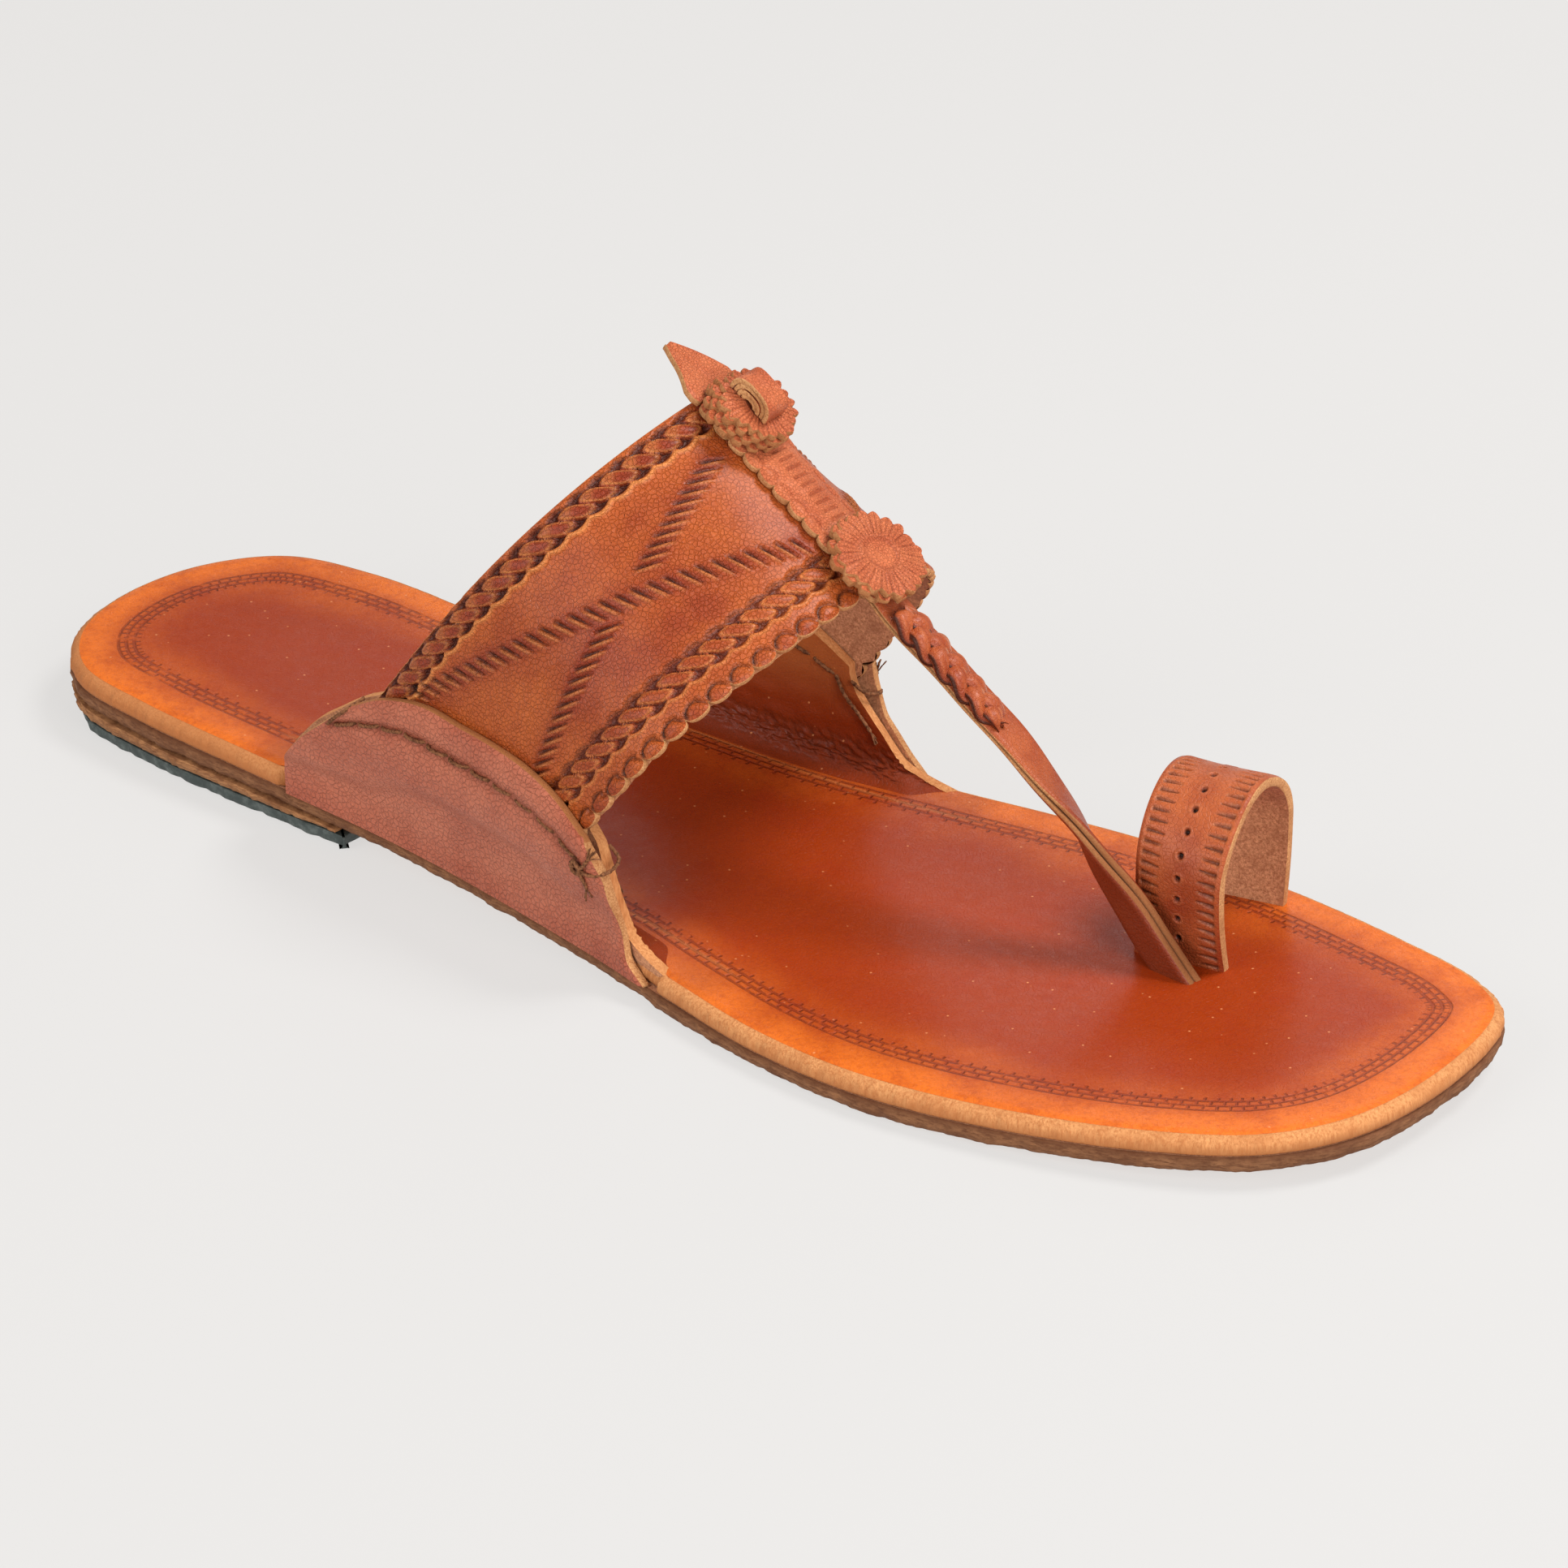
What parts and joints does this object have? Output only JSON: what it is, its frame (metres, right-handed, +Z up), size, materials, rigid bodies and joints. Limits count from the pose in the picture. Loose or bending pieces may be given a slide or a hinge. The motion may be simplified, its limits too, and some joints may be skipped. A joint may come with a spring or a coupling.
{
  "type": "kolhapuri sandal",
  "caption": "Flat leather kolhapuri sandal for the right foot: stamped instep band clasped by ear flaps, toothed rosettes, braided thong and toe loop on a low-heeled sole.",
  "frame": {"origin": "on the floor, under the middle of the sandal's length and width", "axes": "+X to the toe, +Y to the wearer's left, the big-toe side, +Z up"},
  "size_m": [0.283, 0.0951, 0.0959],
  "materials": {
    "glazed_leather": "glazed",
    "sole_leather": "rough",
    "heel_rubber": "matt",
    "burnished_leather": "burnished",
    "pebbled_leather": "matt pebbled",
    "matt_leather": "matt"
  },
  "bodies": {
    "root": {"insole": "glazed_leather", "outsole": "sole_leather", "heel_stack": "sole_leather", "heel_cap": "heel_rubber", "upper": "burnished_leather", "ear_lateral": "pebbled_leather", "ear_medial": "pebbled_leather", "toe_loop": "burnished_leather", "spine_strip": "matt_leather", "rosette_front": "matt_leather", "rosette_rear": "matt_leather", "knot": "matt_leather", "tail_leaf": "matt_leather"}
  },
  "joints": []
}
